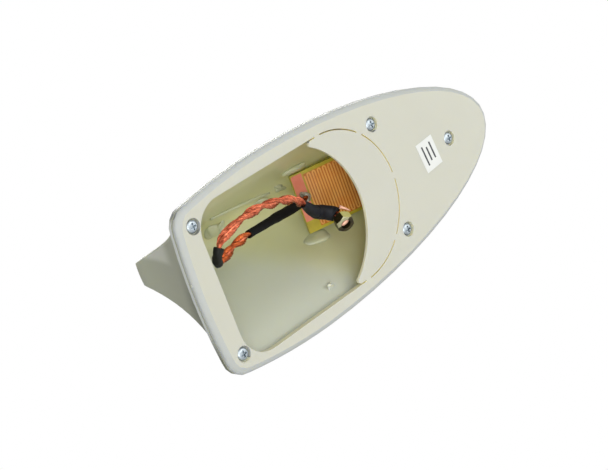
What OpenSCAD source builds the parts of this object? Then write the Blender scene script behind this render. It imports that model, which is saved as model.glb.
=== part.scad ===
// Shark fin roof aerial seen as a moulded housing, its base plate and the parts inside.
// +X points to the low front nose, +Y to the car's left, +Z up. The underside is at z = 0.

/* [Body] */
// Overall length of the housing
body_l = 168.5; // [150:0.5:190]
// Overall width of the housing
body_w = 75; // [70:1:84]
// Overall height of the housing
body_h = 63; // [56:1:70]
// Distance from the rear edge to the widest station
widest_at = 52; // [44:1:60]
// Share of the width that is left at the rear corners
rear_share = 0.9; // [0.86:0.01:0.94]
// How far the rear edge bows outwards
rear_bow = 1.5; // [0.4:0.1:2.4]
// Roundness of the nose in plan, 2 is an ellipse
nose_power = 1.9; // [1.7:0.05:2.3]
// Extra rounding of the rear corners at the skirt
corner_extra = 4.5; // [2:0.5:5.5]

/* [Fin] */
// Half width of the blunt fin tip
tip_half_w = 5; // [4:0.25:6.5]
// Half width that the skirt flare adds at its foot
flare_w = 9; // [6:0.5:11]
// Height over which the skirt flare dies away
flare_h = 9; // [7:0.5:12]
// Forward step at the foot of the trailing face
heel_x = 4; // [2:0.5:6]
// Forward lean of the trailing face up to the tip
lean_x = 15; // [10:0.5:20]
// Length of the flat top of the tip
tip_l = 8; // [6:0.5:12]
// Bulge of the top line, 1 is straight
ridge_power = 0.88; // [0.8:0.01:1]
// Rounding of the edge round the tip
tip_r = 2; // [1:0.25:3]

/* [Housing walls] */
// Thickness of the housing wall measured sideways
wall = 1.8; // [1.4:0.1:2.4]
// Thickness of the housing roof measured upwards
roof = 1.5; // [1.2:0.1:2.2]
// Height of the upright strip at the foot of the housing
strip_h = 2; // [1.5:0.1:3]
// Height of the shadow line between plate and housing
seam_h = 0.5; // [0.3:0.1:0.8]
// Depth of the shadow line
seam_in = 0.6; // [0.3:0.1:0.9]

/* [Base plate] */
// Thickness of the plate
plate_t = 2.5; // [2:0.1:3.2]
// Width of the bevelled band round the underside
bevel_w = 2.2; // [1.4:0.1:2.8]
// Height of the bevelled band
bevel_h = 1.5; // [1:0.1:1.8]
// Width of the plate beside the opening
side_rim = 6.8; // [6:0.2:9]
// Distance from the rear screws to the rear edge of the opening
open_back = 1.6; // [1.2:0.1:4]
// Corner radius of the opening at the rear
open_r = 12; // [8:0.5:15]
// Distance from the rear edge of the opening to the centre of its round front
open_l = 66; // [58:1:68]
// Thickness of the knock-out crescent
web_t = 1.2; // [0.8:0.1:1.6]
// Distance from the round front's centre to the middle of the inner edge
crescent_in = 10.8; // [8:0.2:14]
// How much rounder the opening is than the inner edge of the crescent, as a difference of radius
crescent_extra = 2.3; // [1.5:0.1:5]
// Length of the horns behind the round front's centre
horn_l = 5.2; // [4:0.2:7]
// Radius of the rounded horn tips
horn_r = 1.3; // [0.8:0.1:1.6]
// Width of the groove round the crescent
groove_w = 0.5; // [0.4:0.1:1.2]
// Width of each bridge across the groove
bridge_w = 2.8; // [1.6:0.2:3.4]
// Angle of the bridges between the middle one and the side ones
bridge_angle = 47.5; // [40:0.5:55]

/* [Screws] */
// Diameter of the screw heads
head_d = 4.9; // [4.4:0.1:5.6]
// Height of the screw heads
head_h = 1.5; // [1.2:0.1:1.5]
// Diameter of the screw shanks
shank_d = 2.8; // [2.4:0.1:3]
// Length of the screws under the head
shank_l = 7.6; // [6:0.2:8]
// Diameter of the shallow seats round the heads
seat_d = 6.2; // [5.8:0.1:7]
// Depth of the seats
seat_depth = 1.6; // [1.5:0.1:1.9]
// Distance from the rear edge to the rear screws
screw_back = 9; // [8.6:0.1:11]
// Distance from the widest side line to each rear screw
rear_side = 11.8; // [11.6:0.1:13]
// Distance from the centre of the opening's round front to the middle pair of screws
mid_ahead = 28.4; // [26:0.2:31]
// Distance from the widest side line to each middle screw
mid_side = 14.7; // [14:0.1:17]
// Distance from the nose to the front screw
front_nose = 25.5; // [22:0.5:30]
// Diameter of the screw bosses
boss_d = 6.6; // [6:0.1:7.6]

/* [Circuit board] */
// Gap between the board and the housing wall beside its rear edge
board_gap = 0.9; // [0.6:0.1:1.5]
// Length of the board
board_l = 34; // [28:1:36]
// Thickness of the board
board_t = 1.6; // [1:0.1:1.8]
// Slope of the board, front end down
board_slope = 22.5; // [20:0.5:25]
// Distance from the rear screws to the board's rear edge
board_back = 71.5; // [68:0.5:74]
// Height of the board's underside at its rear edge
board_z = 29; // [28:0.1:29.4]
// Thickness of the copper on the underside of the board
copper_t = 0.12; // [0.08:0.02:0.2]
// Length of the solder pad along the board at its wide end
pad_l = 5; // [4:0.2:6]
// Count of lines of the printed meander track
track_lines = 17; // [13:1:19]
// Share of the line spacing that is copper
track_share = 0.6; // [0.45:0.05:0.7]
// Diameter of the posts that hold the board under the roof
post_d = 3; // [2.4:0.2:4]
// Diameter of the beads of glue at the rear corners of the board
bead_d = 3; // [2.6:0.2:3.2]

/* [Lead] */
// Diameter of the bundle of bare wire
wire_d = 2.6; // [2:0.1:2.7]
// Outer diameter of the shrink sleeves
sleeve_d = 3.4; // [3.2:0.1:3.6]
// Outer diameter of the thick boot behind the coupler
boot_d = 6.2; // [5.4:0.1:6.6]
// Clearance between the wire, a sleeve and the boot
sleeve_fit = 0.1; // [0.05:0.05:0.15]
// Diameter of the tail of cut strands at the boot
tail_d = 1.2; // [0.8:0.1:1.2]
// Length of that tail
tail_l = 4.2; // [2:0.2:5]
// Size of the hexagon coupler across its flats
coupler_af = 6.6; // [6:0.1:7]
// Length of the coupler
coupler_l = 4.2; // [3.6:0.1:4.6]
// Diameter of the coupler's bore
coupler_bore = 4; // [3:0.1:4.4]

/* [Hidden] */

ivory = [0.85, 0.85, 0.78];
rear_x = -body_l / 2;
nose_x = body_l / 2;
screw_x = rear_x + screw_back;
board_x = screw_x + board_back;
// Height at which the housing starts to taper
foot_z = plate_t + strip_h;
rise = body_h - foot_z;
tip_x = rear_x + heel_x + lean_x + tip_l;

// Half width of the body at height h above its foot
function half_w(h) = tip_half_w + (body_w / 2 - flare_w - tip_half_w) * (1 - h / rise)
    + flare_w * exp(-h / flare_h);
// Rear end, nose end and widest station at height h
function rear_at(h) = rear_x + heel_x * (1 - exp(-h / 6)) + lean_x * sin(90 * h / rise);
function nose_at(h) = tip_x + (nose_x - tip_x) * pow(max(0, 1 - h / rise), ridge_power);
function widest_share(h) = widest_at / body_l + 0.11 * (1 - exp(-h / 10));
// One level of the body: [rear, nose, widest, half width, corner half width, corner radius, bow]
function level(h, inset = 0) =
    let (r = rear_at(h), n = nose_at(h), w = half_w(h), rc = (1 - rear_share) * w + corner_extra * exp(-h / 4))
    [r + inset, n - inset, r + (n - r) * widest_share(h), w - inset,
     w * rear_share - inset, max(0.4, rc - inset / 2), rear_bow * w / body_w * 2];

// Counts of steps round half a level: rear edge, corner, side, nose
rear_n = 3;
corner_n = 4;
side_n = 6;
nose_n = 13;
half_n = rear_n + corner_n + side_n + nose_n;

// Half of one level as [x, y] points, from the middle of the rear edge to the nose
function half_ring(v) =
    let (flat = v[4] - v[5], cx = v[0] + v[6] + v[5])
    concat(
        [for (i = [0:rear_n - 1]) [v[0] + v[6] * pow(i / rear_n, 2), flat * i / rear_n]],
        [for (i = [0:corner_n - 1]) let (a = 84 * i / corner_n)
            [cx - v[5] * cos(a), flat + v[5] * sin(a)]],
        [for (i = [0:side_n - 1]) let (t = i / side_n)
            [cx + (v[2] - cx) * t, v[3] - (v[3] - v[4]) * pow(1 - t, 2)]],
        [for (i = [0:nose_n]) let (a = 90 - 90 * i / nose_n)
            [v[2] + (v[1] - v[2]) * pow(max(0, cos(a)), 2 / nose_power), v[3] * sin(a)]]);

// A whole level as [x, y] points
function ring(v) = let (p = half_ring(v))
    concat(p, [for (i = [half_n - 1:-1:1]) [p[i][0], -p[i][1]]]);
function ring_at(v, z) = [for (p = ring(v)) [p[0], p[1], z]];

// Closed solid through a stack of rings from the lowest to the highest
module loft(rings) {
    n = len(rings[0]);
    m = len(rings);
    polyhedron(
        points = [for (r = rings) each r],
        faces = concat(
            [[for (i = [n - 1:-1:0]) i]],
            [[for (i = [0:n - 1]) (m - 1) * n + i]],
            [for (k = [0:m - 2], i = [0:n - 1]) let (j = (i + 1) % n)
                each [[k * n + i, (k + 1) * n + j, (k + 1) * n + i],
                      [k * n + i, k * n + j, (k + 1) * n + j]]]));
}

steps = [0, 0.02, 0.045, 0.075, 0.11, 0.155, 0.21, 0.27, 0.34, 0.42, 0.5, 0.58, 0.66, 0.74, 0.82, 0.9];

// Outer form of the housing, closed
module outer_form() {
    top_h = rise - tip_r;
    loft(concat(
        [ring_at(level(0, seam_in), plate_t), ring_at(level(0, seam_in), plate_t + seam_h),
         ring_at(level(0), plate_t + seam_h + 0.1)],
        [for (s = steps) ring_at(level(s * rise), foot_z + s * rise)],
        [ring_at(level(top_h), foot_z + top_h)],
        [for (a = [30, 60, 90]) ring_at(level(top_h, tip_r * (1 - cos(a))), foot_z + top_h + tip_r * sin(a))]));
}

// Space inside the housing, closed
module inner_form() {
    top_h = rise - tip_r - 2 * roof;
    loft(concat(
        [ring_at(level(0, wall), plate_t - 1), ring_at(level(0, wall), plate_t + strip_h - roof)],
        [for (s = [for (t = steps) if (t > 0 && t * rise < top_h) t])
            ring_at(level(s * rise, wall), foot_z + s * rise - roof)],
        [ring_at(level(top_h, wall), foot_z + top_h - roof),
         ring_at(level(top_h, wall + 1), foot_z + top_h - roof + 1)]));
}

// Rear edge of the opening, centre of its round front and half its width
back_x = screw_x + open_back;
round_x = back_x + open_l;
open_half = body_w / 2 - side_rim;
open_w = 2 * open_half;
crescent_r = open_half + crescent_extra;

// Places of the five screws
screw_places = concat(
    [for (s = [-1, 1]) each [
        [screw_x, s * (body_w / 2 - rear_side)], [round_x + mid_ahead, s * (body_w / 2 - mid_side)]]],
    [[nose_x - front_nose, 0]]);

module at_screws() {
    for (p = screw_places) translate([p[0], p[1], 0]) children();
}

module fin_shell() {
    pilot_fit = 0.1;
    pilot_l = shank_l - plate_t + seat_depth + 0.4;
    color(ivory) difference() {
        outer_form();
        difference() {
            inner_form();
            at_screws() translate([0, 0, plate_t]) cylinder(h = body_h, d = boss_d, $fn = 48);
            board_posts();
        }
        at_screws() translate([0, 0, plate_t - 1]) cylinder(h = pilot_l + 1, d = shank_d + pilot_fit, $fn = 32);
    }
}

// Plan of the opening with its round front, before the crescent is added
module opening_plan() {
    union() {
        translate([back_x, -open_half + open_r]) square([open_l, open_w - 2 * open_r]);
        translate([back_x + open_r, -open_half]) square([open_l - open_r, open_w]);
        for (s = [-1, 1]) translate([back_x + open_r, s * (open_half - open_r)]) circle(r = open_r, $fn = 72);
        translate([round_x, 0]) intersection() {
            circle(r = open_half, $fn = 120);
            translate([0, -open_half]) square([open_half, open_w]);
        }
    }
}

// Plan of the knock-out crescent inside the groove
module crescent_plan() {
    rim = open_half - groove_w;
    tips_x = round_x - horn_l + horn_r;
    difference() {
        union() {
            translate([round_x, 0]) circle(r = rim, $fn = 120);
            translate([round_x - horn_l, -rim]) square([horn_l, 2 * rim]);
        }
        translate([round_x + crescent_in - crescent_r, 0]) circle(r = crescent_r, $fn = 120);
        translate([tips_x - open_half, -open_half]) square([open_half, open_w]);
    }
    for (s = [-1, 1]) translate([tips_x, s * (rim - horn_r)]) circle(r = horn_r, $fn = 48);
}

// Short bridges that hold the crescent across its groove
module bridge_plan() {
    lap = 0.6;
    span = groove_w + 2 * lap;
    translate([round_x, 0]) for (a = [-bridge_angle, 0, bridge_angle]) rotate(a)
        translate([open_half - groove_w - lap, -bridge_w / 2]) square([span, bridge_w]);
    for (s = [-1, 1]) translate([round_x, s * (open_half - groove_w / 2)])
        square([bridge_w, span], center = true);
}

module base_plate() {
    hole_fit = 0.4;
    color(ivory) union() {
        difference() {
            loft([ring_at(level(0, bevel_w), 0), ring_at(level(0, bevel_w * 0.45), bevel_h * 0.4),
                  ring_at(level(0, bevel_w * 0.1), bevel_h * 0.8), ring_at(level(0), bevel_h + 0.2),
                  ring_at(level(0), plate_t)]);
            translate([0, 0, -1]) linear_extrude(plate_t + 2) opening_plan();
            at_screws() translate([0, 0, -1]) cylinder(h = seat_depth + 1, d = seat_d, $fn = 48);
            at_screws() translate([0, 0, -1]) cylinder(h = plate_t + 2, d = shank_d + hole_fit, $fn = 32);
        }
        linear_extrude(web_t) crescent_plan();
        linear_extrude(web_t) bridge_plan();
    }
}

module cross_recess(depth, span, width) {
    for (a = [0, 90]) rotate(a) translate([-span / 2, -width / 2, -1]) cube([span, width, depth + 1]);
}

module screw() {
    dome = 0.5;
    point_l = 1.2;
    difference() {
        rotate_extrude($fn = 48) polygon([
            [0, 0], [head_d * 0.3, 0.06], [head_d * 0.42, 0.28], [head_d / 2, dome + 0.2],
            [head_d / 2, head_h], [shank_d / 2, head_h], [shank_d / 2, head_h + shank_l - point_l],
            [0.4, head_h + shank_l], [0, head_h + shank_l]]);
        cross_recess(0.9, head_d * 0.56, 0.75);
    }
}

module base_screws() {
    color("silver") at_screws() translate([0, 0, seat_depth - head_h]) screw();
}

// Half width of the space inside the housing at x, ahead of the widest station, at height h
function inside_at(x, h) = let (v = level(h, wall))
    v[3] * sqrt(1 - pow((x - v[2]) / (v[1] - v[2]), nose_power));
board_w = 2 * (inside_at(board_x, board_z + board_t - foot_z + roof) - board_gap);

// Puts children in the board's own frame, x forward along the board, z up from its underside
module on_board() {
    translate([board_x, 0, board_z]) rotate([0, board_slope, 0]) children();
}

// Posts under the roof that end on the upper face of the board
module board_posts() {
    edge = 3;
    for (x = [edge, board_l - edge], s = [-1, 1])
        on_board() translate([x, s * (board_w / 2 - edge), board_t]) cylinder(h = body_h, d = post_d, $fn = 32);
}

module board_block() {
    on_board() translate([0, -board_w / 2, 0]) cube([board_l, board_w, board_t]);
}

module circuit_board() {
    color([0.62, 0.58, 0.22]) board_block();
}

// Pad of tinned copper along the rear edge, narrower towards one end
module solder_pad() {
    margin = 0.5;
    top_y = -board_w / 2 + margin;
    end_y = board_w * 0.3;
    color([0.75, 0.45, 0.33]) on_board() translate([0, 0, -copper_t]) linear_extrude(copper_t)
        polygon([[margin, top_y], [pad_l, top_y], [pad_l * 0.7, end_y], [margin, end_y]]);
}

// One printed line that runs to and fro across the board
module meander_track() {
    margin = 0.8;
    start_x = pad_l + 0.4;
    pitch = (board_l - margin - start_x) / track_lines;
    line_w = pitch * track_share;
    line_l = board_w - 2 * margin;
    color([0.78, 0.5, 0.24]) on_board() translate([0, -line_l / 2, -copper_t]) linear_extrude(copper_t) union() {
        for (i = [0:track_lines - 1]) translate([start_x + i * pitch, 0]) square([line_w, line_l]);
        for (i = [0:track_lines - 2])
            translate([start_x + i * pitch, i % 2 == 0 ? line_l - line_w : 0]) square([pitch + line_w, line_w]);
    }
}

// Bead of glue round the board's rear corner, just clear of the housing wall, on the side named by side
module glue_bead(side) {
    r = bead_d / 2;
    below = 0.2;
    from_wall = 1.3;
    color([0.8, 0.8, 0.62]) difference() {
        on_board() translate([0.2, side * (board_w / 2 + board_gap - from_wall), board_t - below - r])
            sphere(r = r, $fn = 48);
        board_block();
    }
}
module glue_bead_left() { glue_bead(1); }
module glue_bead_right() { glue_bead(-1); }

// Route of the lead from the solder joint to the coupler. x counts from the board's rear edge,
// z from the ground, but for the first three points z counts from the board
lead_points = [
    [2.5, -2.5, -3], [0, -2, -2.5], [-5, -2, -3.5], [-12.5, -3, 23], [-20, -4.5, 20],
    [-27.5, -5.5, 17.5], [-34.5, -6.5, 15], [-41, -7.5, 13], [-46, -7.5, 11.5], [-50, -7.5, 11],
    [-52.5, -7, 10.5], [-55.5, -6.5, 10], [-60, -5, 8.5], [-63, -6.5, 6.5], [-64, -8.5, 5],
    [-64, -10.5, 3.5], [-63, -13, 2.5], [-61, -15, 2.5], [-58.5, -16, 2], [-54.5, -17, 2],
    [-51, -17.5, 2], [-47.5, -18, 2], [-42.5, -18, 2], [-38.5, -17.5, 2], [-34.5, -16.5, 2.5],
    [-30, -15.5, 3.5], [-25.5, -14, 4], [-21, -12, 4.5], [-17, -8.5, 6], [-12.5, -5, 8.5],
    [-8.5, -2, 10.5], [-4.5, -0.5, 12], [-1.5, 2, 11], [-0.5, 4, 9], [-0.5, 5, 7.5], [-1, 5.5, 6.5]];
last = len(lead_points) - 1;
route = [for (i = [0:last]) lead_points[i] + [board_x, 0, i < 3 ? board_z : 0]];
// Stations on the route, in points: the ends of each sleeve and of the boot
long_ends = [1, 7];
fold_ends = [13, 16];
coupler_ends = [28, 33];
boot_ends = [30, 33];

// Route point i, with one more point straight beyond each end
function point(i) = i < 0 ? 2 * route[0] - route[1]
    : i > last ? 2 * route[last] - route[last - 1] : route[i];
// Smooth place and direction at station u
function place(u) = let (i = min(floor(u), last - 1), t = u - i)
    (pow(1 - t, 3) * point(i - 1) + (3 * pow(t, 3) - 6 * t * t + 4) * point(i)
     + (-3 * pow(t, 3) + 3 * t * t + 3 * t + 1) * point(i + 1) + pow(t, 3) * point(i + 2)) / 6;
function unit(v) = v / norm(v);
function heading(u) = let (i = min(floor(u), last - 1), t = u - i)
    unit(-pow(1 - t, 2) * point(i - 1) + (3 * t * t - 4 * t) * point(i)
         + (-3 * t * t + 2 * t + 1) * point(i + 1) + t * t * point(i + 2));
function across(u) = unit(cross([-0.3, -0.5, 0.8], heading(u)));
// Circle of n points round the route at station u
function hoop(u, r, n) = let (a = across(u), b = cross(heading(u), a), c = place(u))
    [for (k = [0:n - 1]) c + r * (cos(360 * k / n) * a + sin(360 * k / n) * b)];

// Plain solid bar along the route between two stations
module bar(ends, r, n) {
    loft([for (u = [ends[0]:0.5:ends[1]]) hoop(u, r, n)]);
}

// Open tube along the route between two stations
module sleeve(ends, inner_r, outer_r) {
    n = 16;
    hoops = concat([for (u = [ends[0]:0.5:ends[1]]) hoop(u, outer_r, n)],
                   [for (u = [ends[1]:-0.5:ends[0]]) hoop(u, inner_r, n)]);
    m = len(hoops);
    polyhedron(
        points = [for (h = hoops) each h],
        faces = [for (k = [0:m - 1], i = [0:n - 1]) let (j = (i + 1) % n, k2 = (k + 1) % m)
            each [[k * n + i, k2 * n + j, k2 * n + i], [k * n + i, k * n + j, k2 * n + j]]]);
}

// Turns children so that +Z follows direction d
module facing(d) {
    rotate([0, acos(d[2]), atan2(d[1], d[0])]) children();
}

// Blob of solder on the pad, flat where the wire leaves it
module solder_joint() {
    blob_d = 4;
    way = heading(0);
    color([0.7, 0.7, 0.7]) difference() {
        translate(route[0] - way) sphere(d = blob_d, $fn = 48);
        on_board() translate([-blob_d, -blob_d - board_w / 2, -copper_t]) cube([board_l, board_w + blob_d, blob_d * 2]);
        translate(place(0)) facing(way) translate([-blob_d, -blob_d, 0]) cube(2 * blob_d);
    }
}

module coupler_lead() {
    color([0.8, 0.45, 0.3]) bar([0, last], wire_d / 2, 8);
}
module long_sleeve() {
    color([0.1, 0.1, 0.1]) sleeve(long_ends, wire_d / 2 + sleeve_fit, sleeve_d / 2);
}
module fold_sleeve() {
    color([0.1, 0.1, 0.1]) sleeve(fold_ends, wire_d / 2 + sleeve_fit, sleeve_d / 2);
}
module coupler_sleeve() {
    color([0.1, 0.1, 0.1]) sleeve(coupler_ends, wire_d / 2 + sleeve_fit, sleeve_d / 2);
}
module coupler_boot() {
    color([0.1, 0.1, 0.12]) sleeve(boot_ends, sleeve_d / 2 + sleeve_fit, boot_d / 2);
}

// Cut strands that stick out of the end of the boot
module strand_tail() {
    end = boot_ends[1];
    foot = place(end) + (boot_d - tail_d - 0.1) / 2 * unit([0.67, -0.69, -0.26]);
    color([0.85, 0.6, 0.5]) difference() {
        translate(foot) facing([0.59, 0.46, -0.66]) translate([0, 0, -tail_d])
            cylinder(h = tail_l + tail_d, d = tail_d, $fn = 24);
        translate(place(end)) facing(heading(end)) translate([-boot_d, -boot_d, -2 * boot_d]) cube(2 * boot_d);
    }
}

// Hexagon coupler with a threaded bore open at its free end
module hex_coupler() {
    back_t = 0.8;
    chamfer = 0.5;
    turn = -5;
    tip_r2 = coupler_af / 2 / cos(30);
    flat_r = coupler_af / 2;
    color([0.72, 0.64, 0.4]) translate(route[last]) facing(heading(last)) difference() {
        intersection() {
            rotate(turn) cylinder(h = coupler_l, r = tip_r2, $fn = 6);
            rotate_extrude($fn = 48) polygon([
                [0, 0], [flat_r, 0], [tip_r2, chamfer], [tip_r2, coupler_l - chamfer], [flat_r, coupler_l],
                [0, coupler_l]]);
        }
        translate([0, 0, back_t]) cylinder(h = coupler_l, d = coupler_bore, $fn = 40);
    }
}

base_plate();
fin_shell();
base_screws();
circuit_board();
solder_pad();
meander_track();
solder_joint();
glue_bead_left();
glue_bead_right();
coupler_lead();
long_sleeve();
fold_sleeve();
coupler_sleeve();
coupler_boot();
strand_tail();
hex_coupler();
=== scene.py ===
import math
import random

import bmesh
import bpy
import numpy as np
from mathutils import Matrix, Vector

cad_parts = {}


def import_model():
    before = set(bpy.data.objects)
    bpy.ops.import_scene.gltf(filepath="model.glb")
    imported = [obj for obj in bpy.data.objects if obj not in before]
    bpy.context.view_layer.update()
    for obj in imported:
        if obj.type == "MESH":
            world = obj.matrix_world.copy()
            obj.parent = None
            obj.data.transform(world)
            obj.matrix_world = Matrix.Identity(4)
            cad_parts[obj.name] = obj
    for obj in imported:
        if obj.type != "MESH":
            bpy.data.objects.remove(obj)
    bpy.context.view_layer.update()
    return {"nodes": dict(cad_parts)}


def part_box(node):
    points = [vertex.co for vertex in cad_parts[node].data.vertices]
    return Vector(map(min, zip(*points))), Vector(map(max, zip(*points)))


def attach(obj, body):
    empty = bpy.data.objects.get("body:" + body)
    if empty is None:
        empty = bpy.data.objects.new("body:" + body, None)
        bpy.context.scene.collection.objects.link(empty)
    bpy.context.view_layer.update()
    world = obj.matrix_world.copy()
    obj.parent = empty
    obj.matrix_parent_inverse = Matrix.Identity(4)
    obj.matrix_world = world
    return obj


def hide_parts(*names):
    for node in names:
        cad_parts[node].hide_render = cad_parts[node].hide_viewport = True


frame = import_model()
MM = 0.001
random.seed(11)


# ---------------------------------------------------------------- camera
# Camera fitted to the photo: its place, its right, down and forward directions, its focal length in pixels
CAM_AT = Vector((-363.35, -164.75, -420.5)) * MM
CAM_RIGHT = Vector((0.6697, 0.3359, -0.6623))
CAM_DOWN = Vector((-0.4461, 0.8950, 0.00275))
CAM_AHEAD = Vector((0.5937, 0.2937, 0.7492))
FOCAL_PX = 1498.85
PHOTO_W = 608
SENSOR_MM = 36

cam_data = bpy.data.cameras.new("camera")
cam = bpy.data.objects.new("camera", cam_data)
bpy.context.scene.collection.objects.link(cam)
cam_data.sensor_fit = "HORIZONTAL"
cam_data.sensor_width = SENSOR_MM
cam_data.lens = FOCAL_PX / PHOTO_W * SENSOR_MM
cam_data.clip_start = 0.01
turn = Matrix((CAM_RIGHT, -CAM_DOWN, -CAM_AHEAD)).transposed()
cam.matrix_world = Matrix.Translation(CAM_AT) @ turn.to_4x4()
bpy.context.scene.camera = cam
bpy.context.scene.view_settings.view_transform = "Standard"


# ---------------------------------------------------------------- materials
# How far light spreads inside the plastic and the glue, for red, green and blue, and its reach in metres
SPREAD = (1.0, 0.85, 0.5)
SPREAD_REACH = 6 * MM
BUMP_DEPTH = 0.2 * MM


def lin(r, g, b):
    """sRGB 0 to 255 as linear colour."""
    out = []
    for c in (r, g, b):
        c /= 255
        out.append(c / 12.92 if c <= 0.04045 else ((c + 0.055) / 1.055) ** 2.4)
    return (*out, 1)


def material(name, rgb, rough=0.5, metal=0.0, mottle=0.04, mottle_scale=60, bump=0.0, bump_scale=900,
             spec=0.5, coat=0.0, sub=0.0, rgb2=None):
    """Principled material whose tone a noise moves from rgb to rgb2, or to a share mottle darker, with an
    optional fine bump."""
    m = bpy.data.materials.new(name)
    m.use_nodes = True
    nt = m.node_tree
    b = nt.nodes["Principled BSDF"]
    b.inputs["Roughness"].default_value = rough
    b.inputs["Metallic"].default_value = metal
    b.inputs["Specular IOR Level"].default_value = spec
    b.inputs["Coat Weight"].default_value = coat
    b.inputs["Coat Roughness"].default_value = 0.15
    if sub:
        b.inputs["Subsurface Weight"].default_value = sub
        b.inputs["Subsurface Radius"].default_value = SPREAD
        b.inputs["Subsurface Scale"].default_value = SPREAD_REACH
    tc = nt.nodes.new("ShaderNodeTexCoord")
    n = nt.nodes.new("ShaderNodeTexNoise")
    n.inputs["Scale"].default_value = mottle_scale
    n.inputs["Detail"].default_value = 4
    nt.links.new(tc.outputs["Object"], n.inputs["Vector"])
    ramp = nt.nodes.new("ShaderNodeMapRange")
    ramp.inputs["From Min"].default_value = 0.3
    ramp.inputs["From Max"].default_value = 0.7
    nt.links.new(n.outputs["Fac"], ramp.inputs["Value"])
    mix = nt.nodes.new("ShaderNodeMix")
    mix.data_type = "RGBA"
    c = lin(*rgb)
    c2 = lin(*rgb2) if rgb2 else tuple(x * (1 - mottle) for x in c[:3]) + (1,)
    mix.inputs["A"].default_value = c
    mix.inputs["B"].default_value = c2
    nt.links.new(ramp.outputs["Result"], mix.inputs["Factor"])
    nt.links.new(mix.outputs["Result"], b.inputs["Base Color"])
    if bump:
        n2 = nt.nodes.new("ShaderNodeTexNoise")
        n2.inputs["Scale"].default_value = bump_scale
        n2.inputs["Detail"].default_value = 3
        nt.links.new(tc.outputs["Object"], n2.inputs["Vector"])
        bp = nt.nodes.new("ShaderNodeBump")
        bp.inputs["Strength"].default_value = bump
        bp.inputs["Distance"].default_value = BUMP_DEPTH
        nt.links.new(n2.outputs["Fac"], bp.inputs["Height"])
        nt.links.new(bp.outputs["Normal"], b.inputs["Normal"])
    return m


PLATE = material("ivory_plate", (209, 209, 194), rough=0.42, mottle=0.02, mottle_scale=30, bump=0.05, sub=0.3)
# The housing's outside is a darker copy of the ivory of its inside and the plate: painted shade
SHELL = material("ivory_shell", (190, 194, 174), rough=0.36, mottle=0.03, mottle_scale=25, bump=0.04,
                 spec=0.35, sub=0.3)
INSIDE = material("ivory_inside", (207, 212, 197), rough=0.36, mottle=0.03, mottle_scale=25, bump=0.04,
                  spec=0.35, sub=0.5)
SCREW = material("screw_steel", (176, 186, 192), rough=0.38, metal=1, mottle=0.3, mottle_scale=500, bump=0.2)
BOARD = material("board_laminate", (206, 190, 52), rough=0.4, rgb2=(184, 164, 38), mottle_scale=180, coat=0.2)
GROUND = material("board_varnish", (220, 118, 26), rough=0.35, rgb2=(202, 118, 34), mottle_scale=120,
                  coat=0.3)
PAD = material("pad_copper", (242, 146, 120), rough=0.5, metal=0.1, rgb2=(232, 128, 96), mottle_scale=220)
TRACK = material("track_copper", (255, 200, 112), rough=0.38, metal=0.1, rgb2=(242, 168, 84),
                 mottle_scale=160, coat=0.3)
SOLDER = material("solder", (232, 230, 218), rough=0.35, metal=0.3, rgb2=(110, 104, 88), mottle_scale=900,
                  bump=0.9, bump_scale=1500)
GLUE_CLEAR = material("glue_drop", (226, 228, 206), rough=0.12, mottle=0.06, mottle_scale=150, sub=0.3,
                      coat=0.6)
GLUE = material("clear_glue", (214, 216, 176), rough=0.25, mottle=0.08, mottle_scale=150, sub=0.5, coat=0.3)
COPPER = material("bare_copper", (228, 134, 98), rough=0.24, metal=0.85, rgb2=(142, 54, 30),
                  mottle_scale=520)
COPPER_ORANGE = material("bare_copper_low", (222, 122, 68), rough=0.24, metal=0.85, rgb2=(142, 54, 20),
                         mottle_scale=520)
SLEEVE = material("shrink_black", (14, 14, 14), rough=0.75, mottle=0.2, mottle_scale=200, bump=0.35,
                  bump_scale=600, spec=0.15)
FOLD = material("fold_black", (34, 36, 32), rough=0.6, mottle=0.5, mottle_scale=700, bump=0.6, spec=0.2)
BOOT = material("boot_black", (20, 21, 27), rough=0.6, mottle=0.15, mottle_scale=200, bump=0.3,
                bump_scale=500, spec=0.25)
TINNED = material("tinned_copper", (240, 184, 156), rough=0.4, metal=0.4, mottle=0.15, mottle_scale=500)
# Brass in three tones set by how faces turn to the light: lit brass, a painted sheen and painted shade
BRASS = material("coupler_brass", (250, 246, 170), rough=0.25, metal=0.35, rgb2=(236, 230, 140),
                 mottle_scale=500, bump=0.2, bump_scale=1200)
BRASS_PALE = material("coupler_painted_sheen", (186, 184, 148), rough=0.3, metal=0.4, rgb2=(150, 146, 108),
                      mottle_scale=500)
BRASS_DARK = material("coupler_painted_shade", (74, 64, 38), rough=0.35, metal=0.7, rgb2=(40, 34, 22),
                      mottle_scale=400)
PAPER = material("label_paper", (238, 240, 236), rough=0.7, mottle=0.02, mottle_scale=200)
INK = material("label_ink", (60, 62, 66), rough=0.6, mottle=0.1, mottle_scale=400)


def parts(nt, vector):
    """Separate x, y and z outputs of a vector output."""
    split = nt.nodes.new("ShaderNodeSeparateXYZ")
    nt.links.new(vector, split.inputs["Vector"])
    return split.outputs


def position(nt):
    """Separate x, y and z outputs of the place on the object, in metres."""
    return parts(nt, nt.nodes.new("ShaderNodeTexCoord").outputs["Object"])


def facing(nt, kind):
    """Separate x, y and z outputs of the surface's Normal or True Normal."""
    return parts(nt, nt.nodes.new("ShaderNodeNewGeometry").outputs[kind])


def maths(nt, kind, a, b=0.0):
    """Output of a math node. a and b are numbers or outputs."""
    n = nt.nodes.new("ShaderNodeMath")
    n.operation = kind
    for socket, v in zip(n.inputs, (a, b)):
        if isinstance(v, (int, float)):
            socket.default_value = v
        else:
            nt.links.new(v, socket)
    return n.outputs[0]


def product(nt, *factors):
    """All factors multiplied."""
    out = factors[0]
    for f in factors[1:]:
        out = maths(nt, "MULTIPLY", out, f)
    return out


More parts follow.
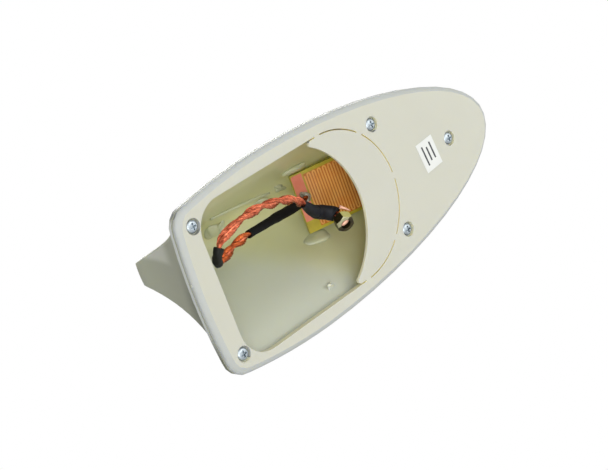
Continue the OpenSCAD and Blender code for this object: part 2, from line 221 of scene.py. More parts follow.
def mapped(nt, value, lo, hi, to_lo=0.0, to_hi=1.0, smooth=True):
    """to_lo below lo, to_hi above hi, and between them smooth or straight."""
    n = nt.nodes.new("ShaderNodeMapRange")
    if smooth:
        n.interpolation_type = "SMOOTHSTEP"
    for socket, v in (("From Min", lo), ("From Max", hi), ("To Min", to_lo), ("To Max", to_hi)):
        n.inputs[socket].default_value = v
    nt.links.new(value, n.inputs["Value"])
    return n.outputs["Result"]


def above(nt, value, lo, hi):
    """0 below lo and 1 above hi."""
    return mapped(nt, value, lo, hi)


def below(nt, value, lo, hi):
    """1 below lo and 0 above hi."""
    return maths(nt, "SUBTRACT", 1.0, mapped(nt, value, lo, hi))


def against(nt, value, lo, hi):
    """0 where the value's negative is below lo and 1 where it is above hi."""
    return above(nt, maths(nt, "MULTIPLY", value, -1.0), lo, hi)


def tint(mat, factor, rgb):
    """Mixes another colour over a material's own by a factor."""
    nt = mat.node_tree
    base = nt.nodes["Principled BSDF"].inputs["Base Color"]
    old = base.links[0].from_socket
    mix = nt.nodes.new("ShaderNodeMix")
    mix.data_type = "RGBA"
    nt.links.new(factor, mix.inputs["Factor"])
    nt.links.new(old, mix.inputs["A"])
    mix.inputs["B"].default_value = lin(*rgb)
    nt.links.new(mix.outputs["Result"], base)


# Normals that count as facing the rear, and as facing the car's right
REAR_FACING = (0.6, 0.9)
RIGHT_FACING = (0.5, 0.85)
# Painted shade: the yellow of the shaded hollow inside the housing
PAINTED_SHADE_YELLOW = (207, 209, 170)
# Painted shade: the grey of the right-facing walls at the foot of housing and plate
EDGE_PAINTED_SHADE = (137, 141, 139)


def tint_inside():
    """Painted shade: deep inside, on the right and to the front, the plastic is tinted the yellow that light
    takes after bouncing about the shaded hollow.
    """
    nt = INSIDE.node_tree
    x, y, _ = position(nt)
    lean, start = 0.8, 20 * MM
    across = maths(nt, "SUBTRACT", y, maths(nt, "MULTIPLY", maths(nt, "ADD", x, start), lean))
    tint(INSIDE, below(nt, across, 8 * MM, 26 * MM), PAINTED_SHADE_YELLOW)


def tint_shell():
    """Painted light and shade outside: the foot of the trailing face is darker, painted shade; its right edge
    and the flange under it are pale, painted light; the flange's rear left corner is darker and its wall on
    the right grey, painted shade."""
    nt = SHELL.node_tree
    x, y, z = position(nt)
    nx, ny, _ = facing(nt, "Normal")
    trailing = against(nt, nx, *REAR_FACING)
    # Painted shade: the trailing face darkens towards its foot
    climb = 0.5
    foot = below(nt, maths(nt, "SUBTRACT", z, maths(nt, "MULTIPLY", y, climb)), 14 * MM, 28 * MM)
    tint(SHELL, product(nt, foot, trailing), (150, 155, 134))
    # Painted highlight: the trailing face's right edge, high up, is pale
    edge = product(nt, against(nt, y, 6.2 * MM, 9.2 * MM), trailing, above(nt, z, 26 * MM, 36 * MM))
    tint(SHELL, edge, (222, 225, 212))
    # Painted light: the flange under the trailing face is pale
    flange = product(nt, below(nt, z, 7.2 * MM, 9.8 * MM), trailing)
    tint(SHELL, flange, (224, 228, 224))
    # Painted shade: the flange's rear left corner is darker
    corner = product(nt, flange, above(nt, y, 8 * MM, 26 * MM), against(nt, x, 55 * MM, 80 * MM))
    tint(SHELL, corner, (130, 133, 118))
    # Painted shade: the right-facing skirt's foot is grey
    skirt = product(nt, below(nt, z, 4.5 * MM, 7 * MM), against(nt, ny, *RIGHT_FACING))
    tint(SHELL, skirt, EDGE_PAINTED_SHADE)


def tint_plate():
    """Painted light and shade on the plate: the upright walls round the opening are warm, painted light;
    those round the outside and the bevel are grey, painted shade, greyer on the right; the broken groove's
    floor is pale yellow, painted light showing through its thin web."""
    nt = PLATE.node_tree
    x, y, z = position(nt)
    nx, ny, nz = facing(nt, "True Normal")
    round_x = -7.65 * MM
    groove = (30.0 * MM, 30.9 * MM)
    groove_floor, groove_rear = 0.05 * MM, round_x - 4 * MM
    dx = maths(nt, "SUBTRACT", x, round_x)
    r = maths(nt, "SQRT", maths(nt, "ADD", product(nt, dx, dx), product(nt, y, y)))
    ring = product(nt, maths(nt, "GREATER_THAN", r, groove[0]), maths(nt, "LESS_THAN", r, groove[1]),
                   maths(nt, "GREATER_THAN", z, groove_floor), maths(nt, "GREATER_THAN", x, groove_rear))
    steep, level = 0.1, 0.97
    tilt = maths(nt, "ABSOLUTE", nz)
    upright = maths(nt, "LESS_THAN", tilt, steep)
    slanted = product(nt, maths(nt, "GREATER_THAN", tilt, steep), maths(nt, "LESS_THAN", tilt, level))
    opening_x = -40 * MM
    outward = maths(nt, "ADD", product(nt, nx, maths(nt, "SUBTRACT", x, opening_x)), product(nt, ny, y))
    outer = product(nt, upright, maths(nt, "GREATER_THAN", outward, 0.0))
    # Painted light on upright walls, painted shade on outer walls and bevel, painted light on the groove's
    # floor
    tint(PLATE, upright, (240, 236, 206))
    tint(PLATE, outer, (196, 199, 196))
    tint(PLATE, product(nt, outer, against(nt, ny, *RIGHT_FACING)), EDGE_PAINTED_SHADE)
    tint(PLATE, slanted, (194, 198, 194))
    tint(PLATE, ring, (250, 238, 184))


tint_inside()
tint_shell()
tint_plate()


# ---------------------------------------------------------------- helpers
WELD = 0.002 * MM


def add_object(name, data):
    """New object of a mesh or a lamp in the scene."""
    o = bpy.data.objects.new(name, data)
    bpy.context.scene.collection.objects.link(o)
    return o


def add_mesh(name, verts, faces, mat, sharp=None):
    """New mesh object on the root body from points in mm."""
    me = bpy.data.meshes.new(name)
    me.from_pydata([tuple(c * MM for c in v) for v in verts], [], faces)
    me.validate()
    bm = bmesh.new()
    bm.from_mesh(me)
    bmesh.ops.recalc_face_normals(bm, faces=bm.faces)
    bm.to_mesh(me)
    bm.free()
    me.shade_smooth()
    if sharp is not None:
        me.set_sharp_from_angle(angle=math.radians(sharp))
    o = add_object(name, me)
    me.materials.append(mat)
    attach(o, "root")
    return o


def crisp_level(me):
    """Marks the edges between level faces and all others as sharp, so that level faces shade flat."""
    level_from = 0.999
    level = [abs(f.normal.z) > level_from for f in me.polygons]
    sides = {}
    for f in me.polygons:
        for key in f.edge_keys:
            sides.setdefault(key, []).append(level[f.index])
    for e in me.edges:
        s = sides.get(e.key, [])
        if len(s) == 2 and s[0] != s[1]:
            e.use_edge_sharp = True


def dress(node, mat, angle, flat=False):
    """A welded copy of a CAD node that stands for it, smooth up to an angle. flat keeps level faces
    crisp-edged."""
    src = frame["nodes"][node]
    bm = bmesh.new()
    bm.from_mesh(src.data)
    bmesh.ops.remove_doubles(bm, verts=bm.verts, dist=WELD)
    me = bpy.data.meshes.new(node + "_look")
    bm.to_mesh(me)
    bm.free()
    if "custom_normal" in me.attributes:
        me.attributes.remove(me.attributes["custom_normal"])
    me.shade_smooth()
    me.set_sharp_from_angle(angle=math.radians(angle))
    if flat:
        crisp_level(me)
    me.materials.clear()
    me.materials.append(mat)
    o = add_object(node + "_look", me)
    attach(o, "root")
    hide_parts(node)
    return o


# ---------------------------------------------------------------- the lead
# The lead's route in mm, with x from the board's rear edge, as in the part's source
BOARD_X = -3.75
ROUTE = [
    (2.5, -2.5, 26), (0, -2, 26.5), (-5, -2, 25.5), (-12.5, -3, 23), (-20, -4.5, 20), (-27.5, -5.5, 17.5),
    (-34.5, -6.5, 15), (-41, -7.5, 13), (-46, -7.5, 11.5), (-50, -7.5, 11), (-52.5, -7, 10.5),
    (-55.5, -6.5, 10), (-60, -5, 8.5), (-63, -6.5, 6.5), (-64, -8.5, 5), (-64, -10.5, 3.5),
    (-63, -13, 2.5), (-61, -15, 2.5), (-58.5, -16, 2), (-54.5, -17, 2), (-51, -17.5, 2), (-47.5, -18, 2),
    (-42.5, -18, 2), (-38.5, -17.5, 2), (-34.5, -16.5, 2.5), (-30, -15.5, 3.5), (-25.5, -14, 4),
    (-21, -12, 4.5), (-17, -8.5, 6), (-12.5, -5, 8.5), (-8.5, -2, 10.5), (-4.5, -0.5, 12), (-1.5, 2, 11),
    (-0.5, 4, 9), (-0.5, 5, 7.5), (-1, 5.5, 6.5)]
LAST = len(ROUTE) - 1
# Route points between which each sleeve lies
LONG, FOLDED, COUPLER_END, BOOTED = (1, 7), (13, 16), (28, 33), (30, 33)
P = [Vector(p) + Vector((BOARD_X, 0, 0)) for p in ROUTE]
P = [2 * P[0] - P[1]] + P + [2 * P[-1] - P[-2]]
ROUND = 2 * math.pi


def place(u):
    """Smooth place in mm on the route at station u, counted in route points."""
    i = min(int(u), LAST - 1)
    t = u - i
    a, b, c, d = P[i:i + 4]
    return ((1 - t) ** 3 * a + (3 * t ** 3 - 6 * t * t + 4) * b
            + (-3 * t ** 3 + 3 * t * t + 3 * t + 1) * c + t ** 3 * d) / 6


def chord(u, h):
    """From the place a little before station u to the place a little after it."""
    return place(min(u + h, LAST)) - place(max(u - h, 0))


def heading(u):
    """Direction of the route at station u."""
    return chord(u, 0.01).normalized()


def axes(u):
    """Two directions across the route at station u."""
    h = heading(u)
    a = Vector((-0.3, -0.5, 0.8)).cross(h).normalized()
    return a, h.cross(a)


def stations(u0, u1, step):
    """Stations between two others, about step mm apart along the route."""
    out, u = [u0], u0
    while u < u1:
        grow = chord(u, 0.05).length / 0.1
        u += step / max(grow, 0.5)
        out.append(min(u, u1))
    if len(out) > 2 and out[-1] - out[-2] < 0.02:
        out.pop(-2)
    return out


def circle(c, r, a, b, sides):
    """Points of a circle round c, across the directions a and b."""
    turns = [ROUND * k / sides for k in range(sides)]
    return [c + r * (math.cos(t) * a + math.sin(t) * b) for t in turns]


def wall(first, rings, sides):
    """Faces between rings of points that follow each other from number first on."""
    faces = []
    for k in range(rings - 1):
        for i in range(sides):
            p, j = first + k * sides, (i + 1) % sides
            faces.append((p + i, p + j, p + sides + j, p + sides + i))
    return faces


def tube(us, radius, sides, verts, faces, middle=place):
    """Appends a closed tube with rings at the stations us to verts and faces."""
    first, n = len(verts), len(us)
    for u in us:
        verts += circle(middle(u), radius, *axes(u), sides)
    faces += wall(first, n, sides)
    faces.append(tuple(first + i for i in range(sides)))
    faces.append(tuple(first + (n - 1) * sides + i for i in range(sides)))


def run_to(u):
    """Length of the lead in mm up to station u."""
    us = stations(0, u, 0.5)
    return sum((place(b) - place(a)).length for a, b in zip(us, us[1:]))


def wire_bundle():
    """The braid: a thin core with two bundles of fine strands laid round each other, drawn together in the
    sleeves."""
    bundles, strands, own_pitch = 2, 14, 13.0
    core_r, heart_r, strand_r = 0.75, 0.72, 0.2
    core_sides, heart_sides, strand_sides = 8, 10, 5
    verts, faces = [], []
    tube(stations(0, LAST, 1.0), core_r, core_sides, verts, faces)
    low, high, end = run_to(LONG[1]), run_to(FOLDED[1]), run_to(LAST)
    # runs in mm at which the two bundles lie behind each other, for the camera
    narrow = [-8, low + 0.5, low + 10.5, low + 20, high - 1, high + 15.5, high + 26, high + 35.5, high + 44,
              high + 52, end + 8]
    # the bundles' spread along the run: drawn together in the sleeves and open between them
    tight, ease = 0.66, (3, 2.5)
    sleeves = [(run_to(LONG[0]), low), (run_to(FOLDED[0]), high), (run_to(COUPLER_END[0]), end)]
    where, share = [0], [0.62]
    for a, b in zip(sleeves, sleeves[1:]):
        where += [a[1], a[1] + ease[0], b[0] - ease[1], b[0]]
        share += [tight, 1.0, 1.0, tight]
    us = stations(0, LAST, 0.55)
    run = [0.0]
    for a, b in zip(us, us[1:]):
        run.append(run[-1] + (place(b) - place(a)).length)
    orange_to = run_to(14)
    orange = [False] * len(faces)
    for g in range(bundles):
        for k in range(strands):
            # the first strand of a bundle is its thick heart
            jig = random.uniform(-0.3, 0.3)
            rr = random.uniform(0.74, 0.88) if k else 0.0
            wild = random.uniform(0.0, 0.12)
            phase = random.uniform(0, 6.28)
            at = {}
            for u, s in zip(us, run):
                spread = float(np.interp(s, where, share))
                a, b = axes(u)
                t = math.atan2(CAM_AHEAD.dot(b), CAM_AHEAD.dot(a)) + ROUND * g / bundles
                t += math.pi * float(np.interp(s, narrow, range(len(narrow))))
                t2 = ROUND * (s / own_pitch + k / strands) + jig
                x = math.cos(t) + rr * math.cos(t2)
                y = math.sin(t) + rr * math.sin(t2)
                loose = wild * math.sin(s * 0.9 + phase)
                at[u] = place(u) + spread * ((x + loose) * a + (y - loose) * b)
            n = len(faces)
            sides = strand_sides if k else heart_sides
            tube(us, strand_r if k else heart_r, sides, verts, faces, middle=lambda u: at[u])
            orange += [run[min(q // sides, len(run) - 1)] < orange_to for q in range(len(faces) - n)]
    o = add_mesh("lead_strands", verts, faces, COPPER)
    o.data.materials.append(COPPER_ORANGE)
    for f, is_orange in zip(o.data.polygons, orange):
        f.material_index = int(is_orange)
    return o


def curl(name, points, radius, mat):
    """A round bead through a few points in mm."""
    steps, sides = 6, 6
    pts = [Vector(p) for p in points]
    fine = []
    for i in range(len(pts) - 1):
        a, b, c, d = pts[max(i - 1, 0)], pts[i], pts[i + 1], pts[min(i + 2, len(pts) - 1)]
        for k in range(steps):
            t = k / steps
            fine.append(0.5 * (2 * b + (c - a) * t + (2 * a - 5 * b + 4 * c - d) * t * t
                               + (3 * b - a - 3 * c + d) * t ** 3))
    fine.append(pts[-1])
    verts = []
    for i, p in enumerate(fine):
        h = (fine[min(i + 1, len(fine) - 1)] - fine[max(i - 1, 0)]).normalized()
        a = h.cross(Vector((0.3, 0.5, 0.81))).normalized()
        verts += circle(p, radius, a, h.cross(a), sides)
    faces = wall(0, len(fine), sides)
    faces += [tuple(range(sides)), tuple(len(verts) - 1 - k for k in range(sides))]
    return add_mesh(name, verts, faces, mat)


def sleeve(name, ends, inner, outer, mat, wrinkle, cut=0.0, sag=0.0):
    """An open black tube round the lead, between two route points. outer lists (share of the length, radius);
    cut slants its first end, and sag lets it hang lower than the lead."""
    us = stations(*ends, 0.5)
    sides = 32
    bumps = [random.uniform(0, 6.28) for _ in range(6)]
    n = len(us)
    sag_from, sag_run = 28.3, 4.7
    cut_turn, cut_fade = 1.2, 4
    verts = []
    for radii in (outer, None):
        for i, u in enumerate(us):
            share = i / (n - 1)
            a, b = axes(u)
            c, h = place(u), heading(u)
            c = c + CAM_DOWN * (sag * math.sin(math.pi * min(max((u - sag_from) / sag_run, 0), 1)))
            for k in range(sides):
                t = ROUND * k / sides
                r = inner
                if radii:
                    r = float(np.interp(share, [q[0] for q in radii], [q[1] for q in radii]))
                    r += wrinkle * (math.sin(u * 4.3 + 2 * t + bumps[0]) * 0.5
                                    + math.sin(u * 9.1 - t + bumps[1]) * 0.3
                                    + math.sin(3 * t + u * 2.1 + bumps[2]) * 0.3)
                slant = cut * math.cos(t + cut_turn) * max(0.0, 1 - cut_fade * share)
                verts.append(c + h * slant + r * (math.cos(t) * a + math.sin(t) * b))
    half = n * sides
    faces = wall(0, n, sides) + [f[::-1] for f in wall(half, n, sides)]
    for ring in (0, n - 1):
        for k in range(sides):
            j = (k + 1) % sides
            p = ring * sides
            faces.append((p + k, p + j, half + p + j, half + p + k))
    return add_mesh(name, verts, faces, mat, sharp=50)


lead = wire_bundle()
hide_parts("coupler_lead")
long_sleeve = sleeve("long_sleeve_look", LONG, 1.35,
                     [(0, 2.05), (0.5, 1.98), (0.56, 1.8), (0.8, 1.65), (1, 1.6)],
                     SLEEVE, wrinkle=0.06)
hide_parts("long_sleeve")
fold_sleeve = sleeve("fold_sleeve_look", FOLDED, 1.45,
                     [(0, 1.85), (0.4, 1.8), (0.6, 1.75), (0.8, 1.9), (1, 1.85)],
                     FOLD, wrinkle=0.16, cut=0.5)
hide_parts("fold_sleeve")
coupler_sleeve = sleeve("coupler_sleeve_look", COUPLER_END, 1.35,
                        [(0, 1.5), (0.15, 1.8), (0.3, 2.2), (0.42, 2.4), (1, 2.4)],
                        BOOT, wrinkle=0.06, cut=0.4, sag=1.1)
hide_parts("coupler_sleeve")
boot = sleeve("coupler_boot_look", BOOTED, 2.0, [(0, 2.5), (0.04, 2.75), (0.5, 2.9), (0.96, 3.1), (1, 3.0)],
              BOOT, wrinkle=0.1, cut=0.3, sag=1.1)
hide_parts("coupler_boot")


def tail_strands():
    """The cut-off strands that stick out beside the coupler: a short flattened wisp that thins to its end."""
    foot = place(BOOTED[1]) + 2.3 * Vector((0.67, -0.69, -0.26)).normalized()
    foot += CAM_RIGHT * 0.5 - CAM_DOWN * 0.7
    along = Vector((0.59, 0.46, -0.66)).normalized()
    side = along.cross(Vector((0, 0, 1))).normalized()
    up = side.cross(along)
    strands, rings, sides = 9, 7, 6
    wide, high, droop = 0.55, 0.4, 0.7
    verts, faces = [], []
    rnd = random.Random(4)
    for k in range(strands):
        t = ROUND * k / strands
        c = foot + side * (wide * math.cos(t)) + up * (high * math.sin(t)) - along * 0.2
        reach = rnd.uniform(3.2, 4.6)
        n = len(verts)
        for i in range(rings):
            q = i / (rings - 1)
            closing = side * ((wide - 0.05) * math.cos(t)) + up * ((high - 0.05) * math.sin(t))
            mid = c + along * reach * q - closing * q + CAM_DOWN * (droop * q * q)
            verts += circle(mid, 0.34 - 0.16 * q, side, up, sides)
        faces += wall(n, rings, sides)
        faces += [tuple(n + m for m in range(sides)), tuple(len(verts) - 1 - m for m in range(sides))]
    return add_mesh("tail_look", verts, faces, TINNED)


AXIS = heading(LAST)


def hexagon():
    """The coupler, with painted light and shade: bright brass on the faces turned to the light and dark on
    the others, a pale painted sheen on the lit side of its mouth, and painted shade on the rest of the mouth
    and inside."""
    o = dress("hex_coupler", BRASS, angle=20)
    bright, dark, painted_sheen = 0, 1, 2
    o.data.materials.append(BRASS_DARK)
    o.data.materials.append(BRASS_PALE)
    # Directions across the view towards the painted light and the painted sheen
    lit = CAM_RIGHT * 0.5 - CAM_DOWN * 0.87
    shine = CAM_RIGHT * -0.7 - CAM_DOWN * 0.7
    mouth = place(LAST) * MM
    end_from, bore_depth = 0.3, 0.01 * MM
    for f in o.data.polygons:
        off = f.center - mouth
        out = off - AXIS * off.dot(AXIS)
        turned = f.normal.dot(AXIS)
        if turned > end_from:
            f.material_index = painted_sheen if out.normalized().dot(shine) > 0.3 else dark
        elif out.dot(f.normal) < -bore_depth and turned > -end_from:
            f.material_index = dark
        else:
            f.material_index = dark if f.normal.dot(lit) < 0.1 else bright
    return o


tail = tail_strands()
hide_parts("strand_tail")
coupler = hexagon()
path = [tuple(place(u) * MM) for u in stations(0, LAST, 1.0)]

# ---------------------------------------------------------------- housing and plate
dress("base_plate", PLATE, angle=40, flat=True)
shell = dress("fin_shell", SHELL, angle=32)
# The outside takes the darker, shaded copy of the ivory; faces inside take the lighter one
shell.data.materials.append(INSIDE)
# A place in the hollow: faces turned towards it are the inside
HEART = Vector((-25, 0, 15)) * MM
for f in shell.data.polygons:
    f.material_index = int((f.center - HEART).dot(f.normal) < 0)
dress("base_screws", SCREW, angle=30)


# ---------------------------------------------------------------- circuit board
BOARD_Z = 29.0
SLOPE = math.radians(22.5)
BOARD_L, BOARD_T = 34.0, 1.6
BOARD_W = (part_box("circuit_board")[1][1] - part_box("circuit_board")[0][1]) / MM
PAD_L = 5.0


def on_board(x, y, z):
    """A point in the board's own frame, x forward along the board, z up from its underside, as a point in
    mm."""
    return (BOARD_X + x * math.cos(SLOPE) + z * math.sin(SLOPE), y,
            BOARD_Z - x * math.sin(SLOPE) + z * math.cos(SLOPE))


def board():
    """Board with a field of amber varnish under the printed line and a bare greenish border."""
    half = BOARD_W / 2
    xs = [0, PAD_L + 0.5, BOARD_L - 0.9, BOARD_L]
    ys = [-half, -half + 1.3, half - 1.2, half]
    verts = [on_board(x, y, z) for z in (0, BOARD_T) for x in xs for y in ys]
    faces, amber = [], []

    def at(k, i, j):
        return k * 16 + i * 4 + j

    for i in range(3):
        for j in range(3):
            faces.append((at(0, i, j), at(0, i + 1, j), at(0, i + 1, j + 1), at(0, i, j + 1)))
            faces.append((at(1, i, j), at(1, i, j + 1), at(1, i + 1, j + 1), at(1, i + 1, j)))
            amber += [i == 1 and j == 1, False]
    for i in range(3):
        faces += [(at(0, i, 0), at(0, i + 1, 0), at(1, i + 1, 0), at(1, i, 0)),
                  (at(0, i, 3), at(1, i, 3), at(1, i + 1, 3), at(0, i + 1, 3)),
                  (at(0, 0, i), at(1, 0, i), at(1, 0, i + 1), at(0, 0, i + 1)),
                  (at(0, 3, i), at(0, 3, i + 1), at(1, 3, i + 1), at(1, 3, i))]
        amber += [False] * 4
    o = add_mesh("board_look", verts, faces, BOARD, sharp=20)
    o.data.materials.append(GROUND)
    for f, is_amber in zip(o.data.polygons, amber):
        f.material_index = int(is_amber)
    return o


def track():
    """The printed line: parallel runs across the board, joined by round turns."""
    thick, runs, share, turn_steps = 0.12, 23, 0.5, 8
    start, stop = PAD_L + 0.7, BOARD_L - 1.2
    pitch = (stop - start) / runs
    w = pitch * share
    half = BOARD_W / 2 - 1.7
    bend = pitch / 2
    line = []
    for i in range(runs):
        x, side = start + w / 2 + i * pitch, 1 if i % 2 == 0 else -1
        line += [(x, -side * (half - bend)), (x, side * (half - bend))]
        if i < runs - 1:
            for k in range(1, turn_steps):
                a = math.pi * k / turn_steps
                line.append((x + bend - bend * math.cos(a), side * (half - bend + bend * math.sin(a))))
    pts = [Vector(p) for p in line]
    n = len(pts)
    verts = []
    for i, p in enumerate(pts):
        d = (pts[min(i + 1, n - 1)] - pts[max(i - 1, 0)]).normalized()
        out = Vector((-d.y, d.x)) * w / 2
        for q, z in ((p + out, -thick), (p - out, -thick), (p - out, 0.0), (p + out, 0.0)):
            verts.append(on_board(q.x, q.y, z))
    faces = wall(0, n, 4)
    faces += [(0, 1, 2, 3), tuple(4 * (n - 1) + k for k in (3, 2, 1, 0))]
    return add_mesh("track_look", verts, faces, TRACK, sharp=30)


def blob(name, centre, axes3, radii, mat, seed, rough, detail=4, flat=None):
    """A lump: a sphere stretched along three axes with soft dents. flat is a share that flattens its back."""
    bm = bmesh.new()
    bmesh.ops.create_icosphere(bm, subdivisions=detail, radius=1)
    rnd = random.Random(seed)
    dents = 7
    waves = [(Vector([rnd.uniform(-1, 1) for _ in range(3)]).normalized() * rnd.uniform(1.6, 4.5),
              rnd.uniform(0, 6.28)) for _ in range(dents)]
    verts, c = [], Vector(centre)
    for v in bm.verts:
        swell = 1 + rough * sum(math.sin(w.dot(v.co) + f) for w, f in waves) / 2.2
        q = v.co * swell
        if flat is not None and q.z < -flat:
            q.z = -flat
        verts.append(c + sum((axes3[i] * (q[i] * radii[i]) for i in range(3)), Vector((0, 0, 0))))
    faces = [tuple(v.index for v in f.verts) for f in bm.faces]
    bm.free()
    return add_mesh(name, verts, faces, mat)


def frame_of(normal, along=(1, 0, 0)):
    """Three axes: along the surface, across it, and its normal."""
    n = Vector(normal).normalized()
    a = Vector(along)
    a = (a - n * a.dot(n)).normalized()
    return (a, n.cross(a), n)


def slab(name, layers, mat):
    """A thin flat piece between two layers of the same outline, in mm."""
    n = len(layers[0])
    faces = [tuple(range(n)), tuple(range(2 * n - 1, n - 1, -1))] + wall(0, 2, n)
    return add_mesh(name, layers[0] + layers[1], faces, mat, sharp=20)


def pad():
    """The bare copper strip along the board's rear edge, with one corner cut off."""
    lo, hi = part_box("solder_pad")
    y0, y1 = lo[1] / MM, hi[1] / MM
    thick, edge = 0.12, 0.1
    outline = ((edge, y0 + 0.6), (0.7, y0), (PAD_L - edge, y0), (PAD_L - edge, y1), (edge, y1))
    return slab("pad_look", [[on_board(x, y, z) for x, y in outline] for z in (-thick, 0)], PAD)


board_look = board()
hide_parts("circuit_board")
pad_look = pad()
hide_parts("solder_pad")
track_look = track()
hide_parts("meander_track")

# Solder where the wire is joined: a low rough heap
BOARD_DOWN = (-math.sin(SLOPE), 0, -math.cos(SLOPE))
heap = blob("solder_look", on_board(3.4, -2.3, -0.9), frame_of(BOARD_DOWN, (2.6, 4.4, -1.1)),
            (2.4, 1.7, 1.5), SOLDER, seed=5, rough=0.2, flat=0.7)
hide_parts("solder_joint")

# A painted highlight in the coupler's mouth: a pale lump shaped like the strands' end, set slanting across
# the view.
blob("mouth_painted_highlight", place(LAST) + AXIS * 3.1, frame_of(AXIS, CAM_RIGHT * 0.75 - CAM_DOWN * 0.66),
     (1.9, 0.85, 0.7), TINNED, seed=12, rough=0.15, detail=3)

# Glue: beads round the board's rear corners
glue_l = blob("glue_left_look", (-1.6, 15.0, 27.8), frame_of((-0.15, -0.83, -0.54), (1, 0, -0.4)),
              (5.2, 3.6, 1.5), GLUE, seed=8, rough=0.2)
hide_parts("glue_bead_left")
glue_r = blob("glue_right_look", (-1.8, -15.3, 26.4), frame_of((-0.15, 0.83, -0.55), (1, 0, -0.4)),
              (4.4, 2.6, 1.4), GLUE, seed=3, rough=0.2)
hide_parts("glue_bead_right")
# Lumps of glue on the housing's wall: place, the wall's normal, radii and seed
WALL_GLUE = [
    ((-32.2, -3.0, 51.4), (-0.31, 0.42, -0.85), (3.6, 3.4, 1.4), 21),
    ((-28.8, -3.0, 50.2), (-0.3, 0.5, -0.8), (2.0, 2.6, 1.2), 22),
    ((-11.0, -5.2, 42.2), (-0.3, 0.55, -0.78), (3.6, 2.2, 1.0), 23),
    ((-4.2, -8.0, 37.4), (-0.25, 0.68, -0.68), (2.8, 2.0, 0.8), 24),
]
for k, (at, normal, radii, seed) in enumerate(WALL_GLUE):
    blob("wall_glue_%d" % k, at, frame_of(normal), radii, GLUE, seed=seed, rough=0.25)
curl("wall_crease", [(-37, -10.4, 43.0), (-26, -9.7, 41.5), (-17, -8.9, 40.5), (-8, -8.0, 39.3)], 0.7,
     INSIDE)
blob("rim_nub", (-84.0, -6.8, 1.9), frame_of((-1, 0, -0.3), (0, 1, 0)), (0.7, 0.4, 0.35), GLUE_CLEAR,
     seed=7, rough=0.2, detail=2)
blob("glue_drop", (-19.0, 27.5, 9.9), frame_of((0, -0.77, -0.64), (1, 0, 0.5)), (1.9, 1.2, 1.3), GLUE_CLEAR,
     seed=31, rough=0.3)

# ---------------------------------------------------------------- label
# Corners of the paper in mm, with x from the rear screws
LABEL = [(114.4, -5.1), (124.5, -5.9), (126.0, 6.9), (116.2, 7.7)]
SCREW_X = -75.25
PAPER_T = 0.06
CORNERS = [Vector(p) + Vector((SCREW_X, 0)) for p in LABEL]
slab("paper_label", [[(p.x, p.y, z) for p in CORNERS] for z in (-PAPER_T, 0.0)], PAPER)


def bars():
    """Plain bars of print on the label, set along its long side."""
    ax, ay = (CORNERS[1] - CORNERS[0]).normalized(), (CORNERS[3] - CORNERS[0]).normalized()
    layers = (-0.1, -0.07)
    verts, faces = [], []
    for along, aside, w, h in ((2.2, 2.0, 0.8, 8.6), (4.6, 3.2, 0.8, 6.2), (7.0, 2.0, 0.8, 7.4)):
        n = len(verts)
        for z in layers:
            for a, b in ((along, aside), (along + w, aside), (along + w, aside + h), (along, aside + h)):
                q = CORNERS[0] + ax * a + ay * b
                verts.append((q.x, q.y, z))
        faces += [(n, n + 1, n + 2, n + 3), (n + 7, n + 6, n + 5, n + 4)] + wall(n, 2, 4)
    return add_mesh("label_print", verts, faces, INK, sharp=20)


bars()


# ---------------------------------------------------------------- floor, world and lamps
def mixed(nt, factor, first, second, out):
    """Links a mix of two shaders to an output's surface."""
    mix = nt.nodes.new("ShaderNodeMixShader")
    nt.links.new(factor, mix.inputs["Fac"])
    nt.links.new(first.outputs[0], mix.inputs[1])
    nt.links.new(second.outputs[0], mix.inputs[2])
    nt.links.new(mix.outputs[0], out.inputs["Surface"])


def floor():
    """A pale floor just under the object. The camera sees it from above only, and every other ray passes."""
    me = bpy.data.meshes.new("floor")
    half, z = 4.0, -0.4 * MM
    me.from_pydata([(-half, -half, z), (half, -half, z), (half, half, z), (-half, half, z)], [],
                   [(0, 1, 2, 3)])
    o = add_object("floor", me)
    m = bpy.data.materials.new("floor_paper")
    m.use_nodes = True
    nt = m.node_tree
    nt.nodes.clear()
    paper = nt.nodes.new("ShaderNodeBsdfDiffuse")
    paper.inputs["Color"].default_value = lin(238, 238, 236)
    clear = nt.nodes.new("ShaderNodeBsdfTransparent")
    to_camera = nt.nodes.new("ShaderNodeLightPath").outputs["Is Camera Ray"]
    from_below = nt.nodes.new("ShaderNodeNewGeometry").outputs["Backfacing"]
    seen = product(nt, to_camera, maths(nt, "SUBTRACT", 1.0, from_below))
    mixed(nt, seen, clear, paper, nt.nodes.new("ShaderNodeOutputMaterial"))
    me.materials.append(m)


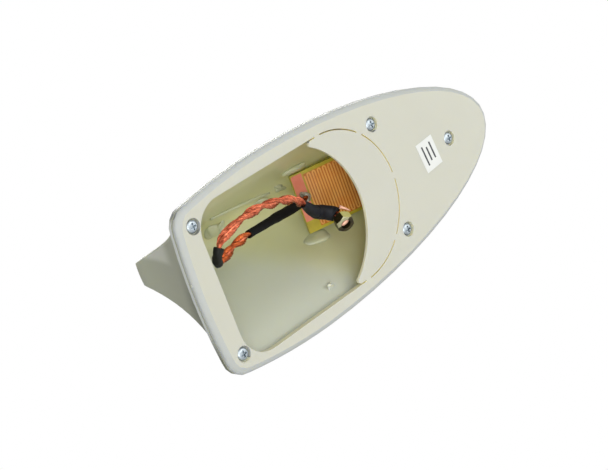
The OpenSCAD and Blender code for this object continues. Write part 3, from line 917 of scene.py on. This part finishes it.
def world():
    """A soft fill, a little stronger from below. The camera and all reflections see a white sweep instead,
    with a dimmer ceiling in the reflections."""
    w = bpy.data.worlds.new("studio")
    bpy.context.scene.world = w
    w.use_nodes = True
    nt = w.node_tree
    nt.nodes.clear()
    seen = nt.nodes.new("ShaderNodeBackground")
    seen.inputs["Color"].default_value = (1, 1, 1, 1)
    fill = nt.nodes.new("ShaderNodeBackground")
    fill.inputs["Color"].default_value = (1.0, 0.995, 0.98, 1)
    height = parts(nt, nt.nodes.new("ShaderNodeTexCoord").outputs["Generated"])["Z"]
    nt.links.new(mapped(nt, height, -0.6, 0.6, 0.36, 0.26), fill.inputs["Strength"])
    ray = nt.nodes.new("ShaderNodeLightPath").outputs
    ceiling = mapped(nt, height, -0.2, 0.7, 1.0, 0.3, smooth=False)
    nt.links.new(maths(nt, "MAXIMUM", ray["Is Camera Ray"], ceiling), seen.inputs["Strength"])
    direct = maths(nt, "MAXIMUM", ray["Is Camera Ray"], ray["Is Glossy Ray"])
    direct = maths(nt, "MAXIMUM", direct, ray["Is Transmission Ray"])
    mixed(nt, direct, fill, seen, nt.nodes.new("ShaderNodeOutputWorld"))


LAMPS_AIM_AT = Vector((-20, 0, 20)) * MM


def lamp(name, direction, distance, size, watts):
    """Square area lamp that shines at the object from a direction. Distance and size are in metres."""
    d = bpy.data.lights.new(name, "AREA")
    d.size = size
    d.energy = watts
    o = add_object(name, d)
    v = Vector(direction).normalized()
    o.location = LAMPS_AIM_AT + v * distance
    o.rotation_euler = v.to_track_quat("Z", "Y").to_euler()


floor()
world()
lamp("key_below", (0.25, -0.32, -0.91), 3.0, 1.8, 31.0)
lamp("key_rear", (-0.5, -0.34, -0.8), 5.0, 2.4, 39.0)
lamp("rear_below", (-0.6, 0.05, -0.8), 5.0, 2.4, 66.0)
lamp("front_below", (0.75, 0.1, -0.65), 3.0, 1.6, 9.0)
lamp("rear", (-0.98, 0.0, -0.18), 5.0, 2.4, 22.0)
lamp("top_front", (0.5, -0.42, 0.76), 3.0, 1.8, 74.0)
